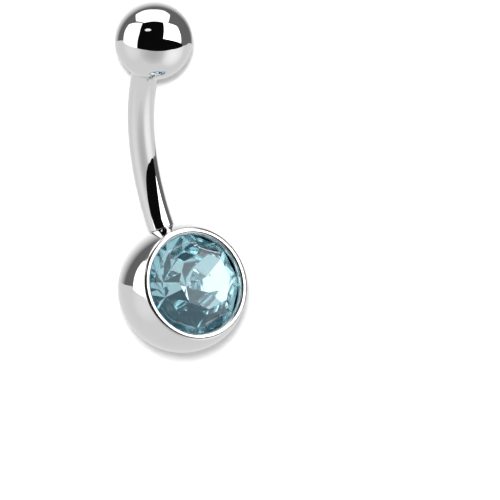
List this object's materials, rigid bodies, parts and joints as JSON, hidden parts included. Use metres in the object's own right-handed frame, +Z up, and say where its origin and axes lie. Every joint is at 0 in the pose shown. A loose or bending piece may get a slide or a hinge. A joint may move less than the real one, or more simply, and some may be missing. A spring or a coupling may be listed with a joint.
{
  "type": "navel ring",
  "caption": "Curved steel barbell for a navel: a small ball screws on one end of the bent bar, and a larger ball on the other end holds a round faceted pale blue stone.",
  "frame": {"origin": "on the surface that the object lies on, below the middle of its length and of its width", "axes": "+Y from the stone's ball toward the small ball, +Z up; it lies on both balls and on the bow of its bar, with the stone facing up, +X and +Y"},
  "size_m": [0.008, 0.0228, 0.0079],
  "materials": {
    "polished_steel": "mirror-polished surgical steel",
    "stone": "clear aqua cut glass with a bright foil back"
  },
  "bodies": {
    "set_bar": {"bar": "polished_steel", "gem_ball": "polished_steel", "gem": "stone"},
    "screw_ball": {"top_ball": "polished_steel"}
  },
  "joints": [
    {"name": "ball_off", "type": "slide", "parent": "set_bar", "child": "screw_ball", "axis": [0.3173, 0.8879, 0.3331], "range_m": [0, 0.004]}
  ]
}
